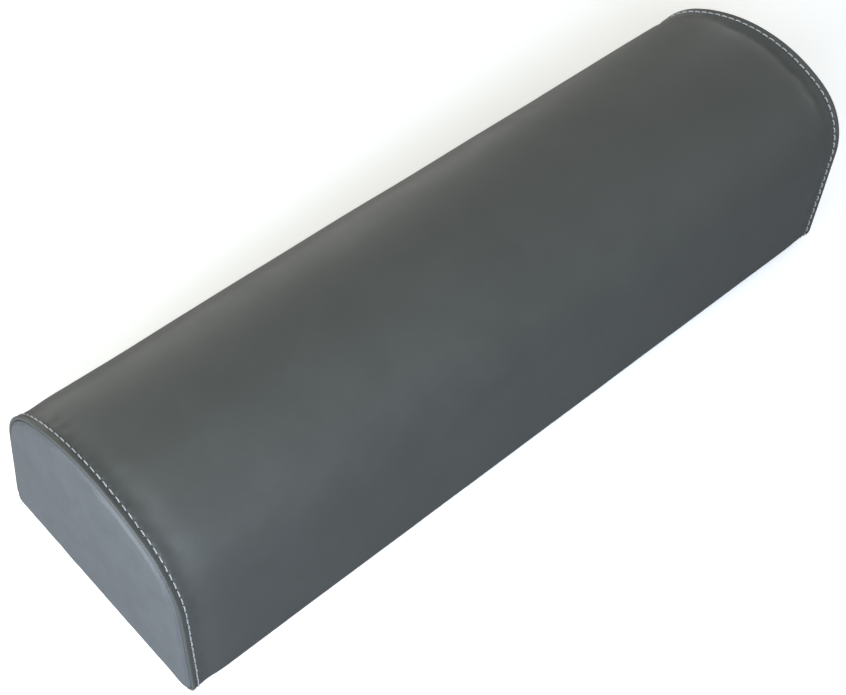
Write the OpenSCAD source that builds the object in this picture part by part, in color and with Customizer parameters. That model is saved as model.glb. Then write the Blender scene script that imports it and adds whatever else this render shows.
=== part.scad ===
// Flat-based bolster pillow: foam core, wadding, sewn leather-look cover, zip.
// +X runs along the bolster, +Z is up, the origin is the centre of the flat base.
// The zip runs along the back (+Y) side, just above the base.

/* [Body] */
// Overall length, end panel to end panel
length = 660; // [420:10:900]
// Width across the flat base
width = 205; // [196:1:216]
// Height from the base to the top of the crown
height = 150; // [145:1:156]
// Radius of the soft corner between the base and the sides
base_r = 11; // [9:0.5:14]
// Radius of the shoulder between the sides and the crown
shoulder_r = 60; // [52:1:66]
// Radius of the crown
crown_r = 133; // [120:1:150]
// Inward lean of the side walls, degrees
side_lean = 6.6; // [5:0.1:8]

/* [Cover] */
// Thickness of the leather-look sheet
leather_t = 1.2; // [1.1:0.05:1.4]
// Width of the turned-in seam allowance at each end
allowance = 12; // [11:0.5:16]
// Distance of the top-stitching from the end of the bolster
stitch_from_end = 6; // [5.5:0.25:8]
// Thickness of the sewing thread
thread_d = 0.65; // [0.5:0.05:0.65]
// Length of one stitch
stitch_len = 4.8; // [3.5:0.1:5]
// Distance from one stitch to the next, about
stitch_pitch = 6.4; // [5.8:0.1:8]

/* [Filling] */
// Loft of the wadding round the foam core
wadding_t = 8; // [6:0.5:14]
// Loft of the wadding pad at each end
end_pad_t = 7.5; // [6:0.5:12]

/* [Zip] */
// Height of the zip above the base
zip_height = 32; // [30:1:45]
// Length of the opening in the cover
opening_len = 580; // [300:10:580]
// Width of the opening between the two folded edges
opening_w = 11; // [10.4:0.1:12]
// Width of each zip tape
tape_w = 13; // [11:0.5:14]
// Length of the slider
slider_len = 11; // [10:0.5:12]
// Distance of the slider from its closed position
slider_travel = 0; // [0:1:260]
// Length of the pull, from its pivot
pull_len = 26; // [20:1:32]
// Radius of the pull's pivot bar
pivot_r = 0.87; // [0.8:0.01:0.89]
// Radius of the hole in the slider's bail
bail_bore_r = 0.93; // [0.91:0.01:0.97]

/* [Hidden] */

leather = [0.27, 0.28, 0.275];
panel_leather = [0.33, 0.34, 0.345];
thread = [0.62, 0.63, 0.63];
foam = [0.90, 0.86, 0.70];
wadding = [0.94, 0.94, 0.92];
tape = [0.13, 0.13, 0.14];
metal = [0.55, 0.55, 0.57];

// ---- layers, as insets from the outside of the cover
gap = 0.1;                                         // clearance between laid layers
return_inset = leather_t + gap;                    // the wrap's turned-in edge
flange_inset = return_inset + leather_t + gap;     // the end panel's turned-in edge
inside_inset = flange_inset + leather_t;           // inside face of the end seam
panel_inset = 0.7;
wadding_inset = leather_t + 0.2;
foam_inset = wadding_inset + wadding_t + gap;
end_pad_inset = inside_inset + 0.7;                // clears the threads inside the seam
groove_w = thread_d + 0.5;
groove_depth = 0.95;
stitch_inset = 0.03 + thread_d / 2;                // centre line of a visible stitch

// ---- stations along the bolster, as distances from its middle
half_len = length / 2;
x_wrap = half_len - leather_t - gap;               // inside of the end panel
x_core = x_wrap - end_pad_t - gap;
x_allowance = half_len - allowance;
x_wadding_step = x_allowance - 8;                  // the wrap gets thinner beyond this
x_stitch = half_len - stitch_from_end;
x_seam = half_len - 3;

// ---- cross-section: base corner, straight wall, shoulder and crown arcs, all tangent
function direction(angle) = [cos(angle), sin(angle)];
wall_normal = direction(side_lean);
wall_dir = [-sin(side_lean), cos(side_lean)];
base_centre = [width / 2 - base_r, base_r];
crown_centre = [0, height - crown_r];
wall_foot = base_centre + base_r * wall_normal;

// The shoulder centre slides along the wall direction until it is
// crown_r - shoulder_r from the crown centre: a quadratic in the wall's length.
shoulder_foot = base_centre + (base_r - shoulder_r) * wall_normal;
foot_offset = shoulder_foot - crown_centre;
linear_term = 2 * (foot_offset * wall_dir);
constant_term = foot_offset * foot_offset - pow(crown_r - shoulder_r, 2);
wall_len = (-linear_term + sqrt(linear_term * linear_term - 4 * constant_term)) / 2;
shoulder_centre = shoulder_foot + wall_len * wall_dir;
join_angle = atan2(shoulder_centre[1] - crown_centre[1], shoulder_centre[0] - crown_centre[0]);

function arc(centre, radius, from, to, steps, first = 0) =
    [for (i = [first:steps]) centre + radius * direction(from + (to - from) * i / steps)];
// right (+Y) half of the outline, from the base corner to the crown top
function half_outline(inset) = concat(
    arc(base_centre, base_r - inset, -90, side_lean, 10),
    arc(shoulder_centre, shoulder_r - inset, side_lean, join_angle, 16),
    arc(crown_centre, crown_r - inset, join_angle, 90, 14, first = 1));
function outline(inset) =
    let (half = half_outline(inset))
    concat(half, [for (i = [len(half) - 2:-1:0]) [-half[i][0], half[i][1]]]);

// distances round the outline from the middle of the base to the end of each part
function arc_len(radius, from, to) = radius * (to - from) * PI / 180;
base_end = width / 2 - base_r;
function corner_end(inset) = base_end + arc_len(base_r - inset, -90, side_lean);
function wall_end(inset) = corner_end(inset) + wall_len;
function shoulder_end(inset) =
    wall_end(inset) + arc_len(shoulder_r - inset, side_lean, join_angle);
function crown_end(inset) = shoulder_end(inset) + arc_len(crown_r - inset, join_angle, 90);

function along_arc(centre, radius, from, distance) =
    centre + radius * direction(from + distance / radius * 180 / PI);
// point at a distance round the outline from the middle of the base, negative towards -Y
function on_outline(distance, inset) =
    distance < 0
        ? let (point = on_outline(-distance, inset)) [-point[0], point[1]]
    : distance <= base_end
        ? [distance, inset]
    : distance <= corner_end(inset)
        ? along_arc(base_centre, base_r - inset, -90, distance - base_end)
    : distance <= wall_end(inset)
        ? base_centre + (base_r - inset) * wall_normal + (distance - corner_end(inset)) * wall_dir
    : distance <= shoulder_end(inset)
        ? along_arc(shoulder_centre, shoulder_r - inset, side_lean, distance - wall_end(inset))
    : along_arc(crown_centre, crown_r - inset, join_angle, distance - shoulder_end(inset));

function unit(vector) = vector / norm(vector);
// corners of a convex outline, each rounded to the radius
function rounded(points, radius) =
    let (count = len(points), steps = 6)
    [for (i = [0:count - 1])
        let (corner = points[i],
             to_last = unit(points[(i + count - 1) % count] - corner),
             to_next = unit(points[(i + 1) % count] - corner),
             half_angle = acos(to_last * to_next) / 2,
             centre = corner + unit(to_last + to_next) * radius / sin(half_angle),
             start = corner + to_last * radius / tan(half_angle) - centre,
             end = corner + to_next * radius / tan(half_angle) - centre,
             from = atan2(start[1], start[0]),
             turn = atan2(end[1], end[0]) - from,
             sweep = turn > 180 ? turn - 360 : turn < -180 ? turn + 360 : turn)
        for (k = [0:steps]) centre + radius * direction(from + sweep * k / steps)];
// rounded trapezium, symmetric about the x axis
function tapered(x0, x1, half_w0, half_w1, radius) =
    rounded([[x0, -half_w0], [x1, -half_w1], [x1, half_w1], [x0, half_w0]], radius);

// ---- helpers
module along_x(x0, x1)
    translate([x0, 0, 0]) rotate([90, 0, 90]) linear_extrude(height = x1 - x0) children();
module solid_prism(inset, x0, x1) along_x(x0, x1) polygon(outline(inset));
module tube(outer_inset, inner_inset, x0, x1) along_x(x0, x1) difference() {
    polygon(outline(outer_inset));
    polygon(outline(inner_inset));
}
module both_ends() {
    children();
    mirror([1, 0, 0]) children();
}
// each argument is a [min, max] range
module block(x, y, z)
    translate([x[0], y[0], z[0]]) cube([x[1] - x[0], y[1] - y[0], z[1] - z[0]]);
module cylinder_y(y0, y1, radius)
    translate([0, y0, 0]) rotate([-90, 0, 0]) cylinder(h = y1 - y0, r = radius, $fn = 48);

// frame on the back wall: x along the bolster, y down the wall, z outwards
zip_at = wall_foot + (zip_height - wall_foot[1]) / wall_dir[1] * wall_dir;
module on_wall()
    translate([0, zip_at[0], zip_at[1]]) rotate([side_lean - 90, 0, 0]) children();
// side of the zip in the wall frame: -1 is above it, 1 is below
module on_side(side) scale([1, side, 1]) children();
module both_sides() for (side = [-1, 1]) on_side(side) children();

// ---- zip layout in the wall frame (z = 0 is the outside of the leather)
half_opening = opening_len / 2;
y_open = opening_w / 2;
y_return = y_open + 8.5;                           // raw edge of the turned-in leather
y_zip_stitch = y_open + 3;
z_cut = 3;                                         // cuts reach this far outside
tape_t = 0.6;
z_tape = -(2 * leather_t + 2 * gap + tape_t);      // underside of the tapes
z_tape_top = z_tape + tape_t;
coil_r = 0.95;
coil_y = coil_r + 0.5;
z_coil = z_tape_top + coil_r + 0.05;
stop_x = half_opening - 8;                         // middle of the stops
stop_len = 3;
coil_x = stop_x - stop_len / 2 - 0.6;              // ends of the coils

// ---- filling
module foam_core() color(foam) solid_prism(foam_inset, -x_core, x_core);

module wadding_wrap() color(wadding) difference() {
    union() {
        tube(wadding_inset, foam_inset - gap, -x_wadding_step, x_wadding_step);
        // thinner ends that pass inside the seam, overlapping the middle by 1 mm
        both_ends() tube(end_pad_inset, foam_inset - gap, -x_core, -x_wadding_step + 1);
    }
    // recess for the zip
    recess_x = half_opening + 16;
    recess_y = y_return + 2;
    on_wall() block([-recess_x, recess_x], [-recess_y, recess_y], [z_tape - 1.9, z_cut]);
}

module wadding_end() color(wadding) solid_prism(end_pad_inset, -x_wrap, -x_wrap + end_pad_t);
module wadding_end_left() wadding_end();
module wadding_end_right() mirror([1, 0, 0]) wadding_end();

// ---- cover
opening_x = [-half_opening, half_opening];
fold_lap = 0.5;       // the zip folds start this far inside the opening, which trims them
z_return = -return_inset - leather_t;              // inside face of the zip returns
zip_groove_x = half_opening - 2;

module cover_wrap() color(leather) difference() {
    union() {
        tube(0, leather_t, -x_wrap, x_wrap);
        // edge turned in at each end: the fold, then the allowance lying inside
        both_ends() {
            tube(0, return_inset + leather_t, -x_wrap, -x_wrap + leather_t);
            tube(return_inset, return_inset + leather_t, -x_wrap, -x_allowance);
        }
        // edges turned in along both sides of the zip opening
        on_wall() both_sides() {
            block(opening_x, [y_open - fold_lap, y_open + leather_t], [z_return, -leather_t / 2]);
            block(opening_x, [y_open - fold_lap, y_return], [z_return, -return_inset]);
        }
    }
    // the opening
    on_wall() block(opening_x, [-y_open, y_open], [-6, z_cut]);
    // dents that the stitches are pulled into, cut from 1 mm outside at the ends
    both_ends() tube(-1, groove_depth, -x_stitch - groove_w / 2, -x_stitch + groove_w / 2);
    on_wall() for (side = [-1, 1])
        block([-zip_groove_x, zip_groove_x],
              [side * y_zip_stitch - groove_w / 2, side * y_zip_stitch + groove_w / 2],
              [-groove_depth, z_cut]);
}

module end_panel() color(panel_leather) {
    solid_prism(panel_inset, -half_len, -half_len + leather_t);
    tube(flange_inset, inside_inset, -half_len, -x_allowance);
}
module end_panel_left() end_panel();
module end_panel_right() mirror([1, 0, 0]) end_panel();

// ---- sewing: threads that lie inside run as one line, visible stitches are separate
inner_thread_w = 0.5;
inner_thread_inset = inside_inset + 0.05;
module inside_thread(x) color(thread)
    tube(inner_thread_inset, inner_thread_inset + inner_thread_w,
         x - inner_thread_w / 2, x + inner_thread_w / 2);
module seam_thread_left() inside_thread(-x_seam);
module seam_thread_right() inside_thread(x_seam);
module bobbin_thread_left() inside_thread(-x_stitch);
module bobbin_thread_right() inside_thread(x_stitch);

half_round = crown_end(stitch_inset);
ring_count = 2 * round(half_round / stitch_pitch);
ring_pitch = 2 * half_round / ring_count;
// straight thread between two points of the cross-section
module thread_between(x, start, end) {
    span = end - start;
    translate([x, start[0], start[1]]) rotate([atan2(span[1], span[0]) - 90, 0, 0])
        cylinder(h = norm(span), d = thread_d, $fn = 16);
}
module stitch_ring(x) color(thread) for (i = [0:ring_count - 1])
    let (middle = -half_round + (i + 0.5) * ring_pitch)
    thread_between(x, on_outline(middle - stitch_len / 2, stitch_inset),
                   on_outline(middle + stitch_len / 2, stitch_inset));
module top_stitch_left() stitch_ring(-x_stitch);
module top_stitch_right() stitch_ring(x_stitch);

zip_row_x = half_opening - 3;                      // ends of the stitch rows by the zip
zip_stitch_count = floor(2 * zip_row_x / stitch_pitch);
zip_pitch = 2 * zip_row_x / zip_stitch_count;
module zip_stitch(side) color(thread) on_wall() for (i = [0:zip_stitch_count - 1])
    translate([-zip_row_x + (i + 0.5) * zip_pitch - stitch_len / 2,
               side * y_zip_stitch, -stitch_inset])
        rotate([0, 90, 0]) cylinder(h = stitch_len, d = thread_d, $fn = 16);
module zip_stitch_upper() zip_stitch(-1);
module zip_stitch_lower() zip_stitch(1);

// rows of threads laid across the wall just beyond each end of the opening
tack_count = 6;
tack_lap = 1;                                      // reach beyond the opening's edges
module zip_bar_tacks() color(thread) on_wall() both_ends() for (i = [0:tack_count - 1])
    translate([-half_opening - 1.2 - i * (thread_d + 0.1), -y_open - tack_lap,
               thread_d / 2 + 0.02])
        rotate([-90, 0, 0]) cylinder(h = opening_w + 2 * tack_lap, d = thread_d, $fn = 16);

// ---- zip tapes, coils and stops
tape_x = half_opening + 10;
tape_y = 0.6;                                      // inner edge of each tape
module zip_tape(side) color(tape) on_wall() on_side(side)
    block([-tape_x, tape_x], [tape_y, tape_y + tape_w], [z_tape, z_tape_top]);
module zip_tape_upper() zip_tape(-1);
module zip_tape_lower() zip_tape(1);

module zip_coil(side) color(tape) on_wall() translate([-coil_x, side * coil_y, z_coil])
    rotate([0, 90, 0]) cylinder(h = 2 * coil_x, r = coil_r, $fn = 32);
module zip_coil_upper() zip_coil(-1);
module zip_coil_lower() zip_coil(1);

// a clip squeezed round the tape, with the tape's slot left open
clip_y = 3.1;                                      // outer edge of the clips
slot_gap = 0.05;
module clip(y0, y1) difference() {
    block([-stop_x - stop_len / 2, -stop_x + stop_len / 2], [y0, y1],
          [z_tape - 0.7, z_coil + coil_r - 0.1]);
    for (slot_y = [[tape_y - slot_gap, y1 + 1], [y0 - 1, slot_gap - tape_y]])
        block([-stop_x - stop_len, -stop_x + stop_len], slot_y,
              [z_tape - slot_gap, z_tape_top + slot_gap]);
}
module zip_top_stops() color(metal) on_wall() both_sides() clip(0.2, clip_y);
module zip_bottom_stop() color(metal) on_wall() mirror([1, 0, 0]) clip(-clip_y, clip_y);

// ---- slider: two plates, wide mouth at -X and narrower tail, with a bail on top
slide_gap = 0.15;                                  // clearance to tapes and coils
slider_x = -(stop_x - stop_len / 2) + slider_len / 2 + 0.2 + slider_travel;
z_plate = z_coil + coil_r + slide_gap;             // underside of the top plate
top_plate_t = 1.1;
bottom_plate_t = 1.05;
z_bail = z_plate + top_plate_t;
z_pivot = z_bail + 1.45;
z_web_top = z_plate + 0.5;                         // webs sink into the top plate
bail_t = 2.5;
plate_points = tapered(-slider_len / 2, slider_len / 2, 4.2, 3.9, 1.6);
// bail side view, x and height above the top plate
bail_points = rounded([[-3.7, -0.6], [3.7, -0.6], [1.7, 3.2], [-1.7, 3.2]], 0.5);

module zip_slider() color(metal) on_wall() translate([slider_x, 0, 0]) difference() {
    union() {
        translate([0, 0, z_plate]) linear_extrude(height = top_plate_t) polygon(plate_points);
        translate([0, 0, z_tape - slide_gap - bottom_plate_t])
            linear_extrude(height = bottom_plate_t) polygon(plate_points);
        // post between the tapes, at the mouth
        block([-slider_len / 2 + 0.5, -slider_len / 2 + 3.3], [-0.4, 0.4],
              [z_tape - 0.8, z_web_top]);
        // side walls above the tapes
        both_sides() block([-slider_len / 2 + 1.3, slider_len / 2 - 1.3], [3.0, 3.7],
                           [z_tape_top + slide_gap, z_web_top]);
        translate([0, bail_t / 2, z_bail]) rotate([90, 0, 0])
            linear_extrude(height = bail_t) polygon(bail_points);
    }
    translate([0, 0, z_pivot]) cylinder_y(-3, 3, bail_bore_r);
}

// ---- pull: a flat tab with two arms that hold the pivot bar through the bail
pull_t = 1.2;
pull_z = [-pull_t / 2, pull_t / 2];
arm_y = [bail_t / 2 + 0.1, bail_t / 2 + 1.1];
pull_points = tapered(4.8, pull_len, 2.4, 3.4, 1.5);

module zip_pull() color(metal) on_wall() translate([slider_x, 0, z_pivot]) difference() {
    union() {
        cylinder_y(-arm_y[1], arm_y[1], pivot_r);
        both_sides() {
            cylinder_y(arm_y[0], arm_y[1], 1.1);
            block([0, 5.5], arm_y, pull_z);
        }
        translate([0, 0, pull_z[0]]) linear_extrude(height = pull_t) polygon(pull_points);
    }
    // hole near the free end
    translate([pull_len - 4.2, 0, -2]) cylinder(h = 4, r = 1.7, $fn = 48);
}

foam_core();
wadding_wrap();
wadding_end_left();
wadding_end_right();
cover_wrap();
end_panel_left();
end_panel_right();
seam_thread_left();
seam_thread_right();
top_stitch_left();
top_stitch_right();
bobbin_thread_left();
bobbin_thread_right();
zip_tape_upper();
zip_tape_lower();
zip_coil_upper();
zip_coil_lower();
zip_slider();
zip_pull();
zip_top_stops();
zip_bottom_stop();
zip_stitch_upper();
zip_stitch_lower();
zip_bar_tacks();
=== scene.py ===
import math

import bpy
import numpy as np
from mathutils import Matrix, Vector, noise


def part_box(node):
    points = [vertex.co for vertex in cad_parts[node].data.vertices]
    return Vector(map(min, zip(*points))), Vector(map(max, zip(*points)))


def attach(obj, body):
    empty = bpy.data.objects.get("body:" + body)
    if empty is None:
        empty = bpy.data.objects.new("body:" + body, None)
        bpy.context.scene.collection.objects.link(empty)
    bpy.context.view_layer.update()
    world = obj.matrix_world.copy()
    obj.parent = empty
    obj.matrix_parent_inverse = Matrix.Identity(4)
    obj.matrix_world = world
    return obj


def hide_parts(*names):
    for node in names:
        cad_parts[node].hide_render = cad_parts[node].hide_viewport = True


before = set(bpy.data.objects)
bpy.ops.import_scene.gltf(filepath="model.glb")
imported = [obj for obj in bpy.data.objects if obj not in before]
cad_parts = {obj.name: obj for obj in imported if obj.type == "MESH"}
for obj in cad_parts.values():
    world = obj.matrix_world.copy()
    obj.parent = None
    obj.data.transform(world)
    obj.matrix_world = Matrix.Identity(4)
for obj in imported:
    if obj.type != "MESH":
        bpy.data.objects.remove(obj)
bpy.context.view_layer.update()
MM = 0.001

# ---------------------------------------------------------------- sizes, all in millimetres
wrap_lo, wrap_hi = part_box("cover_wrap")
HX = (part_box("end_panel_right")[1].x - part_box("end_panel_left")[0].x) / 2 / MM
W = (wrap_hi.y - wrap_lo.y) / MM
H = wrap_hi.z / MM
E_STITCH = HX - (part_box("top_stitch_right")[0].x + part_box("top_stitch_right")[1].x) / 2 / MM
X_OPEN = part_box("zip_tape_upper")[1].x / MM - 10      # half the length of the zip's opening
X_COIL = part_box("zip_coil_upper")[1].x / MM
RB, RS, RC, LEAN = 11.0, 60.0, 133.0, math.radians(6.6)
Y_OPEN, Y_STITCH, Z_ZIP = 5.5, 8.5, 32.0
W_TAPE_LOW, W_TAPE_TOP, W_COIL = -3.2, -2.6, -1.6
N_ROUND = 96                                          # stitches round each end
SHEET = 1.0                                           # thickness of the leather sheet

# ---------------------------------------------------------------- the cross-section
N0 = np.array([math.cos(LEAN), math.sin(LEAN)])
T0 = np.array([-math.sin(LEAN), math.cos(LEAN)])
C_BASE = np.array([W / 2 - RB, RB])
C_CROWN = np.array([0.0, H - RC])
_q = C_BASE + (RB - RS) * N0
_d = _q - C_CROWN
_b, _c = 2 * _d @ T0, _d @ _d - (RC - RS) ** 2
WALL = (-_b + math.sqrt(_b * _b - 4 * _c)) / 2
C_SHOULDER = _q + WALL * T0
A_JOIN = math.atan2(C_SHOULDER[1] - C_CROWN[1], C_SHOULDER[0] - C_CROWN[0])
L_BASE = W / 2 - RB
L1 = L_BASE + RB * (math.pi / 2 + LEAN)
L2 = L1 + WALL
L3 = L2 + RS * (A_JOIN - LEAN)
L4 = L3 + RC * (math.pi / 2 - A_JOIN)
ROUND = 2 * L4
S_ZIP = L1 + (Z_ZIP - (C_BASE + RB * N0)[1]) / T0[1]
ZIP_AT = C_BASE + RB * N0 + (S_ZIP - L1) * T0


def outline(s):
    """Point and outward normal at distance s round the outline, from the middle of the base, +s on the zip side."""
    s = np.asarray(s, float)
    s = (s + L4) % ROUND - L4
    a, side = np.abs(s), np.where(s < 0, -1.0, 1.0)
    phi = np.select(
        [a <= L_BASE, a <= L1, a <= L2, a <= L3],
        [np.full_like(a, -math.pi / 2), -math.pi / 2 + (a - L_BASE) / RB, np.full_like(a, LEAN), LEAN + (a - L2) / RS],
        A_JOIN + (a - L3) / RC)
    c, n = np.cos(phi), np.sin(phi)
    y = np.select([a <= L_BASE, a <= L1, a <= L2, a <= L3],
                  [a, C_BASE[0] + RB * c, C_BASE[0] + RB * N0[0] + (a - L1) * T0[0], C_SHOULDER[0] + RS * c], C_CROWN[0] + RC * c)
    z = np.select([a <= L_BASE, a <= L1, a <= L2, a <= L3],
                  [np.zeros_like(a), C_BASE[1] + RB * n, C_BASE[1] + RB * N0[1] + (a - L1) * T0[1], C_SHOULDER[1] + RS * n], C_CROWN[1] + RC * n)
    return y * side, z, c * side, n


def place(x, s, n):
    """Points at x along the bolster, s round it, and n out of the nominal surface."""
    x, s, n = np.broadcast_arrays(np.asarray(x, float), np.asarray(s, float), np.asarray(n, float))
    y, z, ny, nz = outline(s)
    return np.stack([x, y + n * ny, z + n * nz], -1)


def on_wall(x, v, w):
    """Points on the zip's wall: x along, v down the wall, w outwards."""
    x, v, w = np.broadcast_arrays(np.asarray(x, float), np.asarray(v, float), np.asarray(w, float))
    return np.stack([x, ZIP_AT[0] - v * T0[0] + w * N0[0], ZIP_AT[1] - v * T0[1] + w * N0[1]], -1)


def wave(p, size, seed=0.0):
    """Smooth noise of the given feature size, in millimetres, at points p."""
    flat = np.asarray(p, float).reshape(-1, 3) / size + seed * 17.31
    return np.array([noise.noise(Vector(q)) for q in flat]).reshape(np.asarray(p).shape[:-1])


def bump(t):
    """1 at 0, falling smoothly to 0 at 1."""
    t = np.clip(np.abs(t), 0, 1)
    return (1 - t * t) ** 2


# ---------------------------------------------------------------- meshes
def mesh_object(name, verts, faces, material, smooth=True):
    verts = np.asarray(verts, float).reshape(-1, 3)
    used = np.zeros(len(verts), bool)
    for f in faces:
        used[list(f)] = True
    index = np.cumsum(used) - 1
    me = bpy.data.meshes.new(name)
    me.from_pydata((verts[used] * MM).tolist(), [], [[int(index[i]) for i in f] for f in faces])
    me.validate()
    me.update()
    me.polygons.foreach_set("use_smooth", [smooth] * len(me.polygons))
    ob = bpy.data.objects.new(name, me)
    bpy.context.scene.collection.objects.link(ob)
    me.materials.append(material)
    return ob


def grid_faces(nu, nv, closed_u=False, keep=None, flip=False, start=0):
    """Faces of a grid of nu by nv points stored with v fastest."""
    faces = []
    for i in range(nu if closed_u else nu - 1):
        j = (i + 1) % nu
        for k in range(nv - 1):
            if keep is not None and not keep[i, k]:
                continue
            f = [start + i * nv + k, start + j * nv + k, start + j * nv + k + 1, start + i * nv + k + 1]
            faces.append(f[::-1] if flip else f)
    return faces


def thicken(ob, mm, inward=True):
    m = ob.modifiers.new("thickness", "SOLIDIFY")
    m.thickness = mm * MM
    m.offset = -1 if inward else 1
    m.use_even_offset = False
    return ob


def sweep(paths, radius, sides, cap=True, ply=0, twist=0.0, depth=0.0):
    """Tubes along several paths, each an array of points; ply ridges twisted along them, as in sewing thread."""
    verts, faces, base = [], [], 0
    for path in paths:
        path = np.asarray(path, float)
        n = len(path)
        tan = np.gradient(path, axis=0)
        tan /= np.linalg.norm(tan, axis=1)[:, None]
        ref = np.array([0.0, 0.0, 1.0]) if abs(tan[0][2]) < 0.9 else np.array([1.0, 0.0, 0.0])
        a = np.cross(tan[0], ref); a /= np.linalg.norm(a)
        run = np.r_[0, np.cumsum(np.linalg.norm(np.diff(path, axis=0), axis=1))]
        ang = np.arange(sides) / sides * 2 * math.pi
        r0 = radius if np.ndim(radius) else np.full(n, float(radius))
        for i in range(n):
            a = a - tan[i] * (a @ tan[i]); a /= np.linalg.norm(a)
            b = np.cross(tan[i], a)
            r = r0[i] * (1 + (depth * np.cos(ply * ang - twist * run[i]) if ply else 0))
            verts.append(path[i] + (np.cos(ang) * r)[:, None] * a + (np.sin(ang) * r)[:, None] * b)
        for i in range(n - 1):
            for k in range(sides):
                m = (k + 1) % sides
                faces.append([base + i * sides + k, base + i * sides + m, base + (i + 1) * sides + m, base + (i + 1) * sides + k])
        if cap:
            faces.append([base + k for k in range(sides)][::-1])
            faces.append([base + (n - 1) * sides + k for k in range(sides)])
        base += n * sides
    return np.concatenate(verts), faces


# ---------------------------------------------------------------- materials
class Nodes:
    def __init__(self, name):
        self.m = bpy.data.materials.new(name)
        self.m.use_nodes = True
        self.t = self.m.node_tree
        self.t.nodes.clear()
        self.out = self.t.nodes.new("ShaderNodeOutputMaterial")
        self.b = self.t.nodes.new("ShaderNodeBsdfPrincipled")
        self.link(self.b.outputs[0], self.out.inputs[0])
        self.co = self.t.nodes.new("ShaderNodeTexCoord").outputs["Object"]

    def link(self, a, b):
        self.t.links.new(a, b)

    def set(self, **k):
        for name, v in k.items():
            i = self.b.inputs[name.replace("_", " ")]
            if hasattr(v, "is_linked") or isinstance(v, bpy.types.NodeSocket):
                self.link(v, i)
            else:
                i.default_value = v

    def scaled(self, x, y=None, z=None, rot=(0, 0, 0)):
        n = self.t.nodes.new("ShaderNodeMapping")
        n.inputs["Scale"].default_value = (x, x if y is None else y, x if z is None else z)
        n.inputs["Rotation"].default_value = rot
        self.link(self.co, n.inputs["Vector"])
        return n.outputs[0]

    def noise(self, scale, detail=3.0, rough=0.55, vec=None, distortion=0.0):
        n = self.t.nodes.new("ShaderNodeTexNoise")
        n.inputs["Scale"].default_value = scale
        n.inputs["Detail"].default_value = detail
        n.inputs["Roughness"].default_value = rough
        n.inputs["Distortion"].default_value = distortion
        self.link(vec or self.co, n.inputs["Vector"])
        return n.outputs[0]

    def voronoi(self, scale, feature="F1", vec=None, smooth=None):
        n = self.t.nodes.new("ShaderNodeTexVoronoi")
        n.feature = feature
        n.inputs["Scale"].default_value = scale
        if smooth is not None:
            n.inputs["Smoothness"].default_value = smooth
        self.link(vec or self.co, n.inputs["Vector"])
        return n.outputs["Distance"]

    def wave(self, scale, vec=None, axis="X", distortion=0.0, profile="SIN"):
        n = self.t.nodes.new("ShaderNodeTexWave")
        n.wave_type = "BANDS"
        n.bands_direction = axis
        n.wave_profile = profile
        n.inputs["Scale"].default_value = scale
        n.inputs["Distortion"].default_value = distortion
        self.link(vec or self.co, n.inputs["Vector"])
        return n.outputs["Fac"]

    def ramp(self, fac, lo, hi, a=0.0, b=1.0):
        n = self.t.nodes.new("ShaderNodeMapRange")
        n.interpolation_type = "SMOOTHSTEP"
        for k, v in (("From Min", lo), ("From Max", hi), ("To Min", a), ("To Max", b)):
            n.inputs[k].default_value = v
        self.link(fac, n.inputs["Value"])
        return n.outputs["Result"]

    def math(self, op, a, b=None):
        n = self.t.nodes.new("ShaderNodeMath")
        n.operation = op
        for i, v in enumerate((a, b)):
            if v is None:
                continue
            if isinstance(v, bpy.types.NodeSocket):
                self.link(v, n.inputs[i])
            else:
                n.inputs[i].default_value = v
        return n.outputs[0]

    def mix(self, fac, a, b):
        n = self.t.nodes.new("ShaderNodeMix")
        n.data_type = "RGBA"
        for name, v in (("Factor", fac), ("A", a), ("B", b)):
            i = [x for x in n.inputs if x.name == name and (x.type == "RGBA" or name == "Factor" and x.type == "VALUE")][0]
            if isinstance(v, bpy.types.NodeSocket):
                self.link(v, i)
            else:
                i.default_value = v if name == "Factor" else (*v, 1.0) if len(v) == 3 else v
        return [o for o in n.outputs if o.type == "RGBA"][0]

    def bump(self, height, distance_mm, strength=1.0, under=None):
        n = self.t.nodes.new("ShaderNodeBump")
        n.inputs["Strength"].default_value = strength
        n.inputs["Distance"].default_value = distance_mm * MM
        self.link(height, n.inputs["Height"])
        if under is not None:
            self.link(under, n.inputs["Normal"])
        return n.outputs[0]

    def pointiness(self):
        return self.t.nodes.new("ShaderNodeNewGeometry").outputs["Pointiness"]


def shade(c, k):
    return tuple(min(1.0, x * k) for x in c)


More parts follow.
